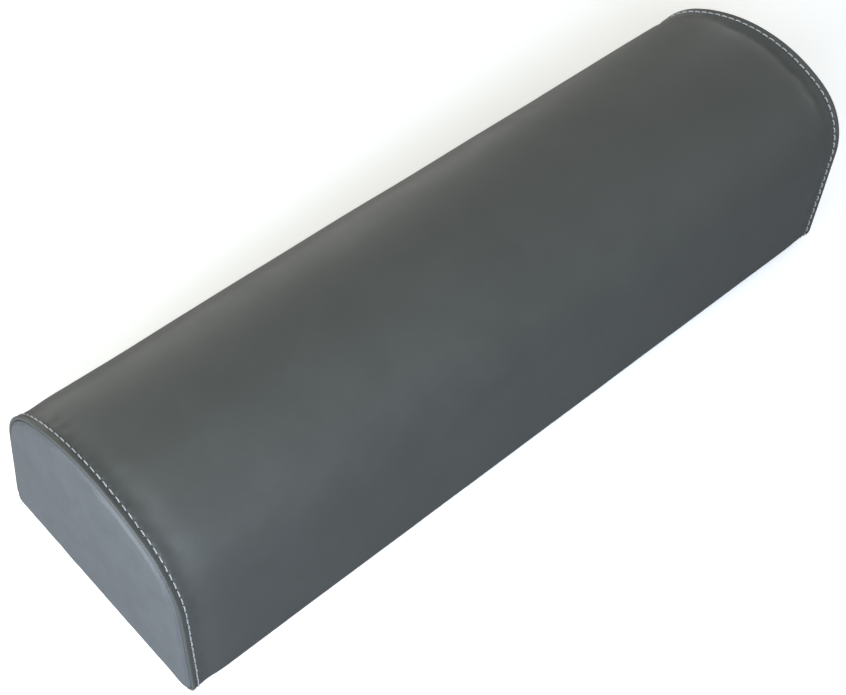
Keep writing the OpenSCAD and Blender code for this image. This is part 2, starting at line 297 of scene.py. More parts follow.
def leather_material(name, colour, rough=0.46, grain=1.0, mottle=0.0):
    n = Nodes(name)
    broad = n.noise(5.0, 3.0, 0.55)
    patch = n.noise(38.0, 3.0, 0.6)
    fine = n.noise(420.0, 2.0, 0.6)
    base = n.mix(n.ramp(broad, 0.3, 0.7), shade(colour, 0.93), shade(colour, 1.07))
    base = n.mix(n.math("MULTIPLY", n.ramp(patch, 0.42, 0.68), 0.35), base, shade(colour, 1.10))
    if mottle:
        # darker smudges on the end panels: painted shade standing in for soft dents in the leather
        painted_dent_shade = n.ramp(n.noise(52.0, 4.0, 0.62, None, 0.4), 0.44, 0.66)
        base = n.mix(n.math("MULTIPLY", painted_dent_shade, mottle), base, shade(colour, 0.80))
    pits = n.voronoi(1150.0, "DISTANCE_TO_EDGE")
    # the creases between the grain's pebbles are painted darker: painted shade
    painted_grain_shade = n.ramp(pits, 0.0, 0.16, 1.0, 0.0)
    base = n.mix(n.math("MULTIPLY", painted_grain_shade, 0.16 * grain), base, shade(colour, 0.72))
    # lighter convex edges: partly edge wear, partly a painted highlight along the rolled rims of the seams
    wear = n.ramp(n.pointiness(), 0.515, 0.60)
    base = n.mix(n.math("MULTIPLY", wear, 0.30), base, shade(colour, 1.55))
    r = n.math("ADD", n.ramp(patch, 0.3, 0.75, rough - 0.03, rough + 0.06), n.math("MULTIPLY", fine, 0.05))
    pebble = n.math("ADD", n.ramp(pits, 0.0, 0.25), n.math("MULTIPLY", n.noise(2600.0, 2.0), 0.5))
    b1 = n.bump(n.noise(90.0, 3.0, 0.5), 0.25, 0.35)
    b2 = n.bump(pebble, 0.045 * grain, 0.8, b1)
    n.set(Base_Color=base, Roughness=r, Normal=b2, Specular_IOR_Level=0.42, IOR=1.46)
    n.set(Coat_Weight=0.06, Coat_Roughness=0.34, Sheen_Weight=0.05, Sheen_Roughness=0.5)
    return n.m


def thread_material(name, colour):
    n = Nodes(name)
    fibre = n.noise(5200.0, 2.0, 0.7)
    base = n.mix(n.ramp(n.noise(160.0, 2.0), 0.35, 0.65), shade(colour, 0.86), shade(colour, 1.1))
    base = n.mix(n.math("MULTIPLY", fibre, 0.35), base, shade(colour, 0.6))
    n.set(Base_Color=base, Roughness=n.ramp(fibre, 0.2, 0.8, 0.55, 0.8), Normal=n.bump(fibre, 0.03, 0.7), Sheen_Weight=0.3, Sheen_Roughness=0.4)
    return n.m


def tape_material(name, colour):
    n = Nodes(name)
    v = n.scaled(1, 1, 1, (0, 0, 0))
    diag = n.wave(330.0, n.scaled(1.0, 0.2, 1.0, (0, math.radians(38), 0)), "X", 0.3)
    warp = n.wave(420.0, v, "Z", 0.2)
    weave = n.math("ADD", n.math("MULTIPLY", diag, 0.6), n.math("MULTIPLY", warp, 0.4))
    base = n.mix(n.ramp(weave, 0.2, 0.8), shade(colour, 0.6), shade(colour, 1.5))
    n.set(Base_Color=base, Roughness=n.ramp(weave, 0.2, 0.8, 0.9, 0.72), Normal=n.bump(weave, 0.12, 0.8), Sheen_Weight=0.35, Sheen_Roughness=0.45)
    return n.m


def nylon_material(name, colour):
    n = Nodes(name)
    mottle = n.noise(700.0, 2.0)
    base = n.mix(n.ramp(mottle, 0.35, 0.65), shade(colour, 0.85), shade(colour, 1.25))
    n.set(Base_Color=base, Roughness=n.ramp(mottle, 0.3, 0.7, 0.30, 0.42), Normal=n.bump(mottle, 0.02, 0.4), Specular_IOR_Level=0.55)
    return n.m


def metal_material(name, colour):
    n = Nodes(name)
    brushed = n.noise(1.0, 3.0, 0.6, n.scaled(350.0, 5200.0, 5200.0))
    stain = n.noise(240.0, 3.0, 0.6)
    wear = n.ramp(n.pointiness(), 0.52, 0.62)
    base = n.mix(n.ramp(stain, 0.35, 0.7), shade(colour, 0.82), shade(colour, 1.08))
    base = n.mix(n.math("MULTIPLY", wear, 0.6), base, shade(colour, 1.5))
    n.set(Base_Color=base, Metallic=1.0, Roughness=n.math("ADD", n.ramp(brushed, 0.3, 0.7, 0.22, 0.36), n.math("MULTIPLY", stain, 0.08)), Normal=n.bump(brushed, 0.006, 0.35))
    return n.m


def foam_material(name, colour):
    n = Nodes(name)
    cells = n.voronoi(900.0, "DISTANCE_TO_EDGE")
    base = n.mix(n.ramp(n.noise(14.0, 3.0), 0.35, 0.7), shade(colour, 0.93), shade(colour, 1.06))
    # the cell hollows are painted darker: painted shade in the pores
    base = n.mix(n.ramp(cells, 0.0, 0.3, 0.0, 0.45), base, shade(colour, 0.62))
    n.set(Base_Color=base, Roughness=0.95, Normal=n.bump(cells, 0.4, 0.8), Specular_IOR_Level=0.15, Subsurface_Weight=0.0)
    return n.m


def wadding_material(name, colour):
    n = Nodes(name)
    fibre = n.noise(1.0, 4.0, 0.75, n.scaled(240.0, 900.0, 900.0), 1.2)
    tuft = n.noise(60.0, 4.0, 0.65, None, 0.6)
    base = n.mix(n.ramp(fibre, 0.35, 0.7), shade(colour, 0.82), colour)
    n.set(Base_Color=base, Roughness=0.98, Normal=n.bump(n.math("ADD", fibre, tuft), 0.9, 0.8), Specular_IOR_Level=0.1, Sheen_Weight=0.5, Sheen_Roughness=0.6)
    return n.m


LEATHER = leather_material("leather_wrap", (0.0700, 0.0730, 0.0674), 0.47)
# the end panels get a lighter, bluer copy of the wrap's leather: painted light for the ends that face the key lamp
PANEL_PAINTED_LIGHTER = leather_material("leather_panel", (0.091, 0.097, 0.102), 0.50, 1.0, 0.42)
THREAD = thread_material("thread", (0.33, 0.34, 0.335))
DARK_THREAD = thread_material("zip_thread", (0.05, 0.051, 0.054))
TAPE = tape_material("zip_tape", (0.030, 0.031, 0.033))
COIL = nylon_material("zip_coil", (0.034, 0.035, 0.037))
METAL = metal_material("zip_metal", (0.50, 0.50, 0.50))
FOAM = foam_material("foam", (0.80, 0.74, 0.52))
WADDING = wadding_material("wadding", (0.86, 0.86, 0.84))

# ---------------------------------------------------------------- how far the filled cover swells
SIM_S, SIM_X, SIM_R = 124, 121, 12


def simulate_cover():
    """A cloth simulation of the filled cover, held at its two end seams, along the zip and on its base.
    Returns how far each point swells out of the nominal shape, in millimetres: (round, along) for the wrap and (round, ring) for each end."""
    s = -L4 + (np.arange(SIM_S) + 0.5) * ROUND / SIM_S
    x = np.linspace(-HX, HX, SIM_X)
    y, z, ny, nz = outline(s)
    centre = np.array([0.0, H * 0.47])
    rows = [place(xx, s, -1.0) for xx in x]
    normals = [np.stack([np.zeros(SIM_S), ny, nz], -1) for _ in x]
    caps = []
    for side in (-1, 1):
        rings = []
        for k in range(1, SIM_R):
            f = 1 - k / SIM_R
            yy, zz = centre[0] + (rows[0][:, 1] - centre[0]) * f, centre[1] + (rows[0][:, 2] - centre[1]) * f
            rings.append(np.stack([np.full(SIM_S, side * HX), yy, zz], -1))
        caps.append(rings)
    verts = [r for r in rows] + caps[0] + caps[1]
    flat = np.concatenate(verts + [np.array([[-HX, *centre]]), np.array([[HX, *centre]])])
    n = SIM_S
    faces = []
    for j in range(SIM_X - 1):
        for i in range(n):
            k = (i + 1) % n
            faces.append([j * n + i, j * n + k, (j + 1) * n + k, (j + 1) * n + i])
    for c, first in ((0, 0), (1, (SIM_X - 1) * n)):
        start = SIM_X * n + c * (SIM_R - 1) * n
        order = [first] + [start + k * n for k in range(SIM_R - 1)]
        for a, b in zip(order[:-1], order[1:]):
            for i in range(n):
                k = (i + 1) % n
                f = [a + i, a + k, b + k, b + i]
                faces.append(f if c else f[::-1])
        tip, last = len(flat) - 2 + c, order[-1]
        for i in range(n):
            f = [last + i, last + (i + 1) % n, tip]
            faces.append(f if c else f[::-1])
    me = bpy.data.meshes.new("sim")
    me.from_pydata((flat * MM).tolist(), [], faces)
    ob = bpy.data.objects.new("sim", me)
    bpy.context.scene.collection.objects.link(ob)
    hold = ob.vertex_groups.new(name="hold")
    z0 = flat[:, 2]
    index = np.arange(len(flat))
    seam = ((index < SIM_X * n) & (np.abs(np.abs(flat[:, 0]) - HX) < 0.1))
    base = z0 < 1.3
    zipline = (index < SIM_X * n) & (np.abs(np.tile(s, SIM_X + 2 * (SIM_R - 1) + 1)[: len(flat)] - S_ZIP) < 9) & (flat[:, 1] > 0)
    hold.add(index[seam | base | zipline].tolist(), 1.0, "REPLACE")
    m = ob.modifiers.new("cloth", "CLOTH")
    c = m.settings
    c.quality = 6
    c.mass = 0.3
    c.tension_stiffness = 30
    c.compression_stiffness = 30
    c.shear_stiffness = 12
    c.bending_stiffness = 0.8
    c.tension_damping = c.compression_damping = 12
    c.air_damping = 2.0
    c.use_pressure = True
    c.uniform_pressure_force = 4.0
    c.shrink_min = -0.012
    c.vertex_group_mass = "hold"
    c.effector_weights.gravity = 0.0
    m.collision_settings.use_collision = False
    m.point_cache.frame_start, m.point_cache.frame_end = 1, 24
    scene = bpy.context.scene
    for f in range(1, 25):
        scene.frame_set(f)
    dg = bpy.context.evaluated_depsgraph_get()
    got = ob.evaluated_get(dg).to_mesh()
    co = np.zeros(len(got.vertices) * 3)
    got.vertices.foreach_get("co", co)
    co = co.reshape(-1, 3) / MM
    scene.frame_set(1)
    bpy.data.objects.remove(ob)
    bpy.data.meshes.remove(me)
    moved = co - flat
    wrap = np.stack([(moved[j * n:(j + 1) * n] * normals[j]).sum(1) for j in range(SIM_X)], 1)
    ends = []
    for c in (0, 1):
        start = SIM_X * n + c * (SIM_R - 1) * n
        out = -1 if c == 0 else 1
        rings = [np.zeros(n)] + [out * moved[start + k * n: start + (k + 1) * n, 0] for k in range(SIM_R - 1)]
        rings.append(np.full(n, out * moved[len(flat) - 2 + c, 0]))
        ends.append(np.stack(rings, 1))
    print("cloth: wrap", wrap.min().round(2), wrap.max().round(2), "ends", ends[0].max().round(2), ends[1].max().round(2))
    return wrap, ends


def soften(a, times=2, wrap_first=True):
    for _ in range(times):
        a = (np.roll(a, 1, 0) + 2 * a + np.roll(a, -1, 0)) / 4
        b = a.copy()
        b[:, 1:-1] = (a[:, :-2] + 2 * a[:, 1:-1] + a[:, 2:]) / 4
        a = b
    return a


def sample(a, u, v):
    """Smooth lookup in a table that is closed along its first direction; u and v count cells."""
    u, v = np.broadcast_arrays(u, v)
    v = np.clip(v, 0, a.shape[1] - 1.0001)
    i, k = np.floor(u).astype(int), np.floor(v).astype(int)
    fu, fv = u - i, v - k
    fu, fv = fu * fu * (3 - 2 * fu), fv * fv * (3 - 2 * fv)
    n = a.shape[0]
    return ((a[i % n, k] * (1 - fu) + a[(i + 1) % n, k] * fu) * (1 - fv)
            + (a[i % n, k + 1] * (1 - fu) + a[(i + 1) % n, k + 1] * fu) * fv)


sim_wrap, sim_ends = simulate_cover()
sim_wrap = soften(sim_wrap, 1)
sim_ends = [soften(e, 1) for e in sim_ends]

CROWN = 0.9       # how far the middle of the cover stands out of the nominal shape
SEAM = -1.3       # how far the cover dips beside the end seams
DOME = 4.2        # how far the end panels bulge


def swell(s, x):
    """How far the wrap's surface lies out of the nominal shape."""
    s, x = np.broadcast_arrays(np.asarray(s, float), np.asarray(x, float))
    e = HX - np.abs(x)
    a = np.abs((s + L4) % ROUND - L4)
    loose = np.clip((a - L_BASE - 2) / 22, 0, 1)
    loose = loose * loose * (3 - 2 * loose)
    near_zip = np.exp(-((s - S_ZIP) / 24) ** 2)
    away = 1 - np.exp(-np.clip(e, 0, None) / 26)
    if sim_wrap is None:
        full = away
    else:
        cap = max(np.percentile(sim_wrap, 99), 1e-6)
        full = np.clip(sample(sim_wrap, (s + L4) / ROUND * SIM_S - 0.5, (x + HX) / (2 * HX) * (SIM_X - 1)) / cap, -0.3, 1.25)
    body = CROWN * full * loose * (1 - near_zip)
    seam = SEAM * np.exp(-((e - 14.0) / 8.5) ** 2) * (0.25 + 0.75 * loose) - 0.15
    p = place(x, s, 0.0)
    slow = wave(p * [1, 1.6, 1.6], 95.0, 1.0) * 0.55 + wave(p * [1, 1.3, 1.3], 42.0, 2.0) * 0.16
    pucker = wave(np.stack([x * 0.45, s, s * 0], -1), 8.5, 3.0) * 0.72 * np.exp(-((e - 12.5) / 6.5) ** 2)
    pucker = pucker + wave(np.stack([x * 0.6, s, s * 0], -1), 19.0, 4.0) * 0.75 * np.exp(-((e - 17) / 12) ** 2)
    return body + seam + (slow * np.clip(e / 40, 0, 1) * (1 - near_zip) + pucker) * np.maximum(loose, 0.0)


# ---------------------------------------------------------------- cover wrap
# (distance from the end, height) of the sheet from the end of its turned-in edge to the start of the plain cover
EDGE = [(12, -2.62), (9.5, -2.62), (7.5, -2.64), (6, -2.68), (4.6, -2.64), (3.4, -2.58), (2.5, -2.47), (1.75, -2.25), (1.25, -1.88),
        (0.98, -1.42), (0.88, -0.92), (0.98, -0.42), (1.25, 0.0), (1.65, 0.26), (2.15, 0.36), (2.75, 0.32), (3.4, 0.18), (4.0, 0.0),
        (4.6, -0.19), (5.15, -0.36), (5.6, -0.47), (6.0, -0.50), (6.4, -0.48), (6.8, -0.40), (7.3, -0.27), (7.9, -0.14), (8.7, -0.05), (9.8, 0), (11.2, 0),
        (13, 0), (15, 0), (18, 0), (22, 0), (26.5, 0), (31, 0), (36, 0)]
pitch = ROUND / N_ROUND

edge = np.array(EDGE, float)
mid = np.linspace(-(HX - 42), HX - 42, 71)
mid = mid[np.abs(mid) < HX - 41.5]
mid = np.sort(np.concatenate([mid[np.abs(np.abs(mid) - X_OPEN) > 2.6], [-X_OPEN, X_OPEN]])) if HX - 40 > X_OPEN else mid
col_x = np.concatenate([-(HX - edge[:, 0]), mid, (HX - edge[:, 0])[::-1]])
col_n = np.concatenate([edge[:, 1], np.zeros(len(mid)), edge[:, 1][::-1]])
inside = np.concatenate([np.arange(len(edge)) < 9, np.zeros(len(mid), bool), (np.arange(len(edge)) < 9)[::-1]])

lines = np.arange(-2 * N_ROUND, 2 * N_ROUND) * pitch / 4
lines = lines[(np.abs(lines) > L_BASE - 4) | (np.arange(len(lines)) % 2 == 0)]
zip_lines = np.array([-12.5, -11, -9.9, -9.1, -8.5, -7.9, -7.1, -6.3, -5.5, -3.7, -1.9, -0.8, 0, 0.8, 1.9, 3.7, 5.5, 6.3, 7.1, 7.9, 8.5, 9.1, 9.9, 11, 12.5])
lines = np.sort(np.concatenate([lines[np.abs(lines - S_ZIP) > 13.4], S_ZIP + zip_lines]))
rel = lines - S_ZIP

S, X = np.meshgrid(lines, col_x, indexing="ij")
E = HX - np.abs(X)
N = np.broadcast_to(col_n, S.shape).copy()
N += swell(S, X)
# the cover is drawn down into each needle hole between two stitches
phase = (S / pitch) - np.round(S / pitch)
N -= np.where(inside[None, :], 0, 0.42 * np.exp(-(phase * pitch / 1.15) ** 2) * np.exp(-((E - E_STITCH) / 0.9) ** 2))
# zip: stitched row, folded lip and, beyond the opening, the plain seam that closes the wrap
R = np.broadcast_to(rel[:, None], S.shape)
along = bump(np.clip((np.abs(X) - X_OPEN + 3) / 3, 0, 1)) * (np.abs(X) <= X_OPEN)
flatten = 1.0 * (~inside[None, :])
N -= along * flatten * (0.42 * np.exp(-((np.abs(R) - Y_STITCH) / 0.8) ** 2))
zp = np.stack([X, R * 0.3, R * 0], -1)
N += along * flatten * (0.30 + 0.34 * wave(zp, 13.0, 14.0)) * np.exp(-((np.abs(R) - 15.0) / 5.0) ** 2) * (np.abs(R) < 40)
N += along * flatten * 0.14 * (1 + wave(zp, 9.0, 15.0)) * np.exp(-((np.abs(R) - 6.6) / 0.9) ** 2)
N -= (np.abs(X) <= X_OPEN) * flatten * 0.32 * np.exp(-((np.abs(R) - Y_OPEN) / 0.5) ** 2) * (np.abs(R) >= Y_OPEN - 0.01)
beyond = np.clip((np.abs(X) - X_OPEN) / 6, 0, 1) * np.clip((E - 1.9) / 3.0, 0, 1) * flatten
N -= beyond * 0.85 * np.exp(-(R / 0.85) ** 2)
keep = np.ones((len(lines), len(col_x) - 1), bool)
mid_r = (rel + np.roll(rel, -1)) / 2
mid_x = (col_x[:-1] + col_x[1:]) / 2
hole = (np.abs(mid_r)[:, None] < Y_OPEN) & (np.abs(mid_x)[None, :] < X_OPEN)
for k in range(len(col_x) - 1):            # the turned-in edges share those x values, and stay whole
    if inside[k] and inside[k + 1]:
        hole[:, k] = False
keep &= ~hole
verts = place(X, S, N)
verts[..., 2] = np.maximum(verts[..., 2], 0.02)      # the seam's rim is pressed flat under the base
faces = grid_faces(len(lines), len(col_x), True, keep)
# turned-in edges along the opening
flat = verts.reshape(-1, 3)
extra, base = [], len(flat)
cols = [k for k in range(len(col_x)) if abs(col_x[k]) <= X_OPEN + 1e-6 and not inside[k]]
HEM = [(5.14, -0.95), (5.2, -1.55), (5.55, -2.1), (6.3, -2.4), (7.6, -2.44), (9.5, -2.44), (11.4, -2.44), (13.6, -2.44)]
for side in (-1, 1):
    row = int(np.argmin(np.abs(rel - side * Y_OPEN)))
    first = [row * len(col_x) + k for k in cols]
    for r, n in HEM:
        pts = place(col_x[cols], S_ZIP + side * r, n)
        extra.append(pts)
        now = list(range(base, base + len(cols)))
        for a in range(len(cols) - 1):
            f = [first[a], now[a], now[a + 1], first[a + 1]]
            faces.append(f[::-1] if side > 0 else f)
        first, base = now, base + len(cols)
cover = mesh_object("cover_wrap_leather", np.concatenate([flat] + extra), faces, LEATHER)
thicken(cover, SHEET)
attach(cover, "bolster")
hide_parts("cover_wrap")

# ---------------------------------------------------------------- end panels
# (distance from the end, depth inside the outline) from the end of the turned-in edge to the face
ROLL = [(12, 2.76), (9.5, 2.76), (7.5, 2.78), (6, 2.80), (4.6, 2.78), (3.4, 2.74), (2.5, 2.72), (1.8, 2.78), (1.3, 2.92),
        (0.9, 3.15), (0.6, 3.5), (0.4, 4.0)]
CENTRE = np.array([0.0, H * 0.47])
face_d = [4.6, 5.4, 6.4, 7.6, 9.0]
face_f = np.concatenate([np.linspace(0.0, 0.22, 7)[1:], np.linspace(0.22, 0.97, 20)[1:]])


def end_panel(side, name, node, ends):
    s = np.arange(4 * N_ROUND) * pitch / 4 - L4
    y, z, ny, nz = outline(s)
    draw = swell(s, np.full_like(s, side * HX))
    rings, deep = [], []
    for e, d in ROLL:
        here = swell(s, np.full_like(s, side * (HX - e)))
        rings.append(np.stack([np.full_like(s, HX - e), y + (here - d) * ny, z + (here - d) * nz], -1))
        deep.append(np.full_like(s, 0.0))
    rim = None
    for d in face_d:
        p = np.stack([np.full_like(s, HX), y + (draw - d) * ny, z + (draw - d) * nz], -1)
        rings.append(p)
        deep.append(np.full_like(s, d - 3.2))
    rim = rings[-1]
    reach = np.hypot(rim[:, 1] - CENTRE[0], rim[:, 2] - CENTRE[1])
    for f in face_f:
        yy = rim[:, 1] + (CENTRE[0] - rim[:, 1]) * f
        zz = rim[:, 2] + (CENTRE[1] - rim[:, 2]) * f
        rings.append(np.stack([np.full_like(s, HX), yy, zz], -1))
        deep.append(face_d[-1] - 3.2 + reach * f)
    pts = np.stack(rings, 1)
    deep = np.stack(deep, 1)
    n_roll = len(ROLL)
    # bulge: rises fast by the seam, then flattens; every bit of the seam holds the leather down around it
    step = np.linalg.norm(rim - np.roll(rim, 1, 0), axis=1)
    def held(reach_mm):
        total = np.zeros(deep.shape)
        for b, w in zip(rim, step):
            total += w * np.exp(-np.hypot(pts[..., 1] - b[1], pts[..., 2] - b[2]) / reach_mm)
        return 1 - total / (2 * reach_mm)
    ease = np.clip(deep / 6.0, 0, 1)
    ease = ease * ease * (3 - 2 * ease)
    rise = np.clip(held(15.0), -0.1, 1) * ease + (1 - ease) * (1 - np.exp(-deep / 13.0)) * 0.5
    rim_round = 1.5 * (1 - np.exp(-deep / 3.2))
    bulge = DOME * rise
    if ends is not None:
        table = ends / max(ends.max(), 1e-6)
        frac = 1 - np.hypot(pts[..., 1] - CENTRE[0], pts[..., 2] - CENTRE[1]) / np.hypot(y - CENTRE[0], z - CENTRE[1])[:, None]
        got = sample(table, np.broadcast_to(((s + L4) / ROUND * SIM_S - 0.5)[:, None], frac.shape), np.clip(frac, 0, 1) * SIM_R)
        bulge = bulge * 0.55 + DOME * 0.50 * np.clip(got, 0, 1.2) * np.clip(deep / 6, 0, 1)
    q = pts * [1, 1, 1]
    slow = wave(q + side * 31.0, 38.0, 5.0) * 1.15 + wave(q + side * 57.0, 16.0, 6.0) * 0.42
    around = np.broadcast_to(s[:, None], deep.shape)
    seam_fold = wave(np.stack([around, deep * 0.35, np.full_like(deep, side * 9.0)], -1), 15.0, 7.0) + 0.4 * wave(np.stack([around, deep * 0.5, np.full_like(deep, side * 4.0)], -1), 7.0, 7.5)
    seam_fold = seam_fold * 0.80 * np.clip(deep / 1.6, 0, 1) * np.exp(-(deep / 13.0) ** 1.4)
    top = np.clip((z - 18) / 30, 0.25, 1)[:, None]
    bulge = bulge * 0.80 + rim_round + (slow * np.clip(deep / 12, 0, 1) + seam_fold * top)
    pts[:, n_roll:, 0] += bulge[:, n_roll:]
    pts[..., 0] *= side
    nv = pts.shape[1]
    flat = pts.reshape(-1, 3)
    faces = grid_faces(len(s), nv, True, None, side < 0)
    tip = len(flat)
    mean = flat[nv - 1::nv].mean(0)
    flat = np.concatenate([flat, mean[None]])
    for i in range(len(s)):
        f = [i * nv + nv - 1, ((i + 1) % len(s)) * nv + nv - 1, tip]
        faces.append(f[::-1] if side < 0 else f)
    ob = mesh_object(name, flat, faces, PANEL_PAINTED_LIGHTER)
    thicken(ob, SHEET)
    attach(ob, "bolster")
    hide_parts(node)
    return ob


end_panel(-1, "end_panel_left_leather", "end_panel_left", sim_ends[0] if sim_ends else None)
end_panel(1, "end_panel_right_leather", "end_panel_right", sim_ends[1] if sim_ends else None)

# ---------------------------------------------------------------- stitching
T = np.linspace(-1.13, 1.13, 15)
SAG = -0.02 - 0.12 * T ** 2 - 11.0 * np.clip(np.abs(T) - 0.76, 0, None) ** 2


def stitch_row(name, node, paths, radius=0.50, material=None, sides=10):
    v, f = sweep(paths, radius, sides, True, 3, 2 * math.pi / 1.9 * 3 / 3, 0.13)
    ob = mesh_object(name, v, f, material or THREAD)
    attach(ob, "bolster")
    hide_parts(node)
    return ob


def ring_paths(side):
    paths = []
    for i in range(N_ROUND):
        mid_s = -L4 + (i + 0.5) * pitch
        wob = 0.10 * noise.noise(Vector((i * 0.73, side * 5.1, 0.0)))
        s = mid_s + T * 2.0
        x = side * (HX - E_STITCH + 0.14 * T) + wob
        p = place(x, s, swell(s, np.full_like(s, side * (HX - E_STITCH))) + SAG + 0.06)
        p[:, 2] = np.maximum(p[:, 2], 0.54)          # under the base the thread is pressed into the cover
        paths.append(p)
    return paths


stitch_row("top_stitch_left_thread", "top_stitch_left", ring_paths(-1))
stitch_row("top_stitch_right_thread", "top_stitch_right", ring_paths(1))

n_zip = int((2 * X_OPEN - 6) // 6.4)
zip_pitch = (2 * X_OPEN - 6) / n_zip
for side, which in ((-1, "upper"), (1, "lower")):
    paths = []
    for i in range(n_zip):
        x = -X_OPEN + 3 + (i + 0.5) * zip_pitch + T * 2.0
        wob = 0.08 * noise.noise(Vector((i * 0.61, side * 3.3, 4.0)))
        paths.append(on_wall(x, side * Y_STITCH + wob, SAG + 0.10))
    stitch_row(f"zip_stitch_{which}_thread", f"zip_stitch_{which}", paths, 0.44)

paths = []
for side in (-1, 1):
    for i in range(15):
        t = np.linspace(-1, 1, 11)
        lean = (0.22 if i % 2 else -0.22)
        x = side * (X_OPEN + 0.7 + i * 0.33) + lean * t
        paths.append(on_wall(x, t * (Y_OPEN + 1.1), 0.62 * (1 - t ** 6) - 0.15 + 0.10 * np.cos(t * 2.0) + (i % 2) * 0.08))
stitch_row("zip_bar_tacks_thread", "zip_bar_tacks", paths, 0.27, sides=8)

# the threads inside run along the inner face of the end seam's turned-in edges
for side, which in ((-1, "left"), (1, "right")):
    for node, e in ((f"seam_thread_{which}", 3.0), (f"bobbin_thread_{which}", E_STITCH)):
        s = -L4 + np.arange(N_ROUND * 6) * pitch / 6
        ph = (s / pitch) % 1.0
        n = -4.28 + 0.22 * np.cos(ph * 2 * math.pi)
        p = place(np.full_like(s, side * (HX - e)), s, n + swell(s, np.full_like(s, side * (HX - e))))
        sides, verts, faces = 7, [], []
        tan = np.roll(p, -1, 0) - np.roll(p, 1, 0)
        tan /= np.linalg.norm(tan, axis=1)[:, None]
        a = np.broadcast_to([1.0, 0, 0], p.shape)
        b = np.cross(tan, a)
        ang = np.arange(sides) / sides * 2 * math.pi
        ringv = p[:, None, :] + 0.26 * (np.cos(ang)[None, :, None] * a[:, None, :] + np.sin(ang)[None, :, None] * b[:, None, :])
        for i in range(len(s)):
            j = (i + 1) % len(s)
            for k in range(sides):
                m = (k + 1) % sides
                faces.append([i * sides + k, i * sides + m, j * sides + m, j * sides + k])
        ob = mesh_object(node + "_line", ringv.reshape(-1, 3), faces, THREAD)
        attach(ob, "bolster")
        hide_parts(node)

# ---------------------------------------------------------------- zip
COIL_PITCH = 1.35
turns = int(2 * X_COIL / COIL_PITCH)
for side, which in ((-1, "upper"), (1, "lower")):
    per = 12
    t = np.arange(turns * per + 1) / per
    a = t * 2 * math.pi
    x = -X_COIL + t * COIL_PITCH + (COIL_PITCH / 2 if side > 0 else 0)
    x = np.clip(x, -X_COIL + 0.3, X_COIL - 0.3)
    # each loop reaches past the middle, so that the two rows hook into each other
    v = side * (1.33 + 1.52 * np.cos(a) + 0.10 * np.cos(2 * a))
    w = W_COIL + 0.66 * np.sin(a) * (1 + 0.25 * np.cos(a))
    pts, f = sweep([on_wall(x, v, w)], 0.29, 6, True)
    ob = mesh_object(f"zip_coil_{which}_teeth", pts, f, COIL)
    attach(ob, "bolster")
    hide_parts(f"zip_coil_{which}")

    # tape: a ribbed band with a rounded edge, its outer side up
    half = [(0.62, W_TAPE_LOW + 0.22), (0.62, W_TAPE_TOP - 0.10), (0.85, W_TAPE_TOP)]
    for k in range(28):
        half.append((1.1 + k * 0.44, W_TAPE_TOP - (0.0 if k % 2 else 0.07)))
    half += [(13.45, W_TAPE_TOP - 0.05), (13.6, W_TAPE_TOP - 0.25), (13.6, W_TAPE_LOW + 0.1), (13.4, W_TAPE_LOW)]
    for k in range(27, -1, -2):
        half.append((1.1 + k * 0.44, W_TAPE_LOW + (0.04 if k % 4 == 1 else 0.0)))
    half.append((0.8, W_TAPE_LOW))
    half = np.array(half)
    xs = np.concatenate([[-X_OPEN - 10, -X_OPEN - 5], np.linspace(-X_COIL - 4.5, -X_COIL, 4), np.linspace(-X_COIL + 8, X_COIL - 8, 30),
                         np.linspace(X_COIL, X_COIL + 4.5, 4), [X_OPEN + 5, X_OPEN + 10]])
    closing = np.clip((np.abs(xs) - X_COIL - 1.0) / 3.0, 0, 1)[None, :] * np.exp(-(half[:, 0][:, None] - 0.6) / 0.5) * 0.5
    band = on_wall(xs[None, :], side * (half[:, 0][:, None] - closing), half[:, 1][:, None])
    faces = grid_faces(len(half), len(xs), True, None, side > 0)
    k = len(xs)
    start_cap = [i * k for i in range(len(half))]
    end_cap = [i * k + k - 1 for i in range(len(half))]
    faces.append(start_cap if side > 0 else start_cap[::-1])
    faces.append(end_cap[::-1] if side > 0 else end_cap)
    ob = mesh_object(f"zip_tape_{which}_woven", band.reshape(-1, 3), faces, TAPE, smooth=False)
    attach(ob, "bolster")
    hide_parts(f"zip_tape_{which}")

    # the coil is sewn to its tape with a row of small stitches
    paths = []
    count = int(2 * X_COIL / (COIL_PITCH * 2))
    tt = np.linspace(-1, 1, 5)
    for i in range(count):
        x = -X_COIL + 1.4 + i * COIL_PITCH * 2 + tt * 1.15
        paths.append(on_wall(x, side * 3.15, W_TAPE_TOP + 0.10 - 0.16 * tt ** 2))
    pts, f = sweep(paths, 0.17, 5, True)
    ob = mesh_object(f"zip_coil_{which}_sewing", pts, f, DARK_THREAD)
    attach(ob, "bolster")

for node in ("zip_slider", "zip_pull", "zip_top_stops", "zip_bottom_stop"):
    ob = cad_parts[node]
    ob.data.materials.clear()
    ob.data.materials.append(METAL)
    m = ob.modifiers.new("soft_edges", "BEVEL")
    m.width = 0.22 * MM
    m.segments = 2
    m.limit_method = "ANGLE"
    m.angle_limit = math.radians(35)
    m.harden_normals = False

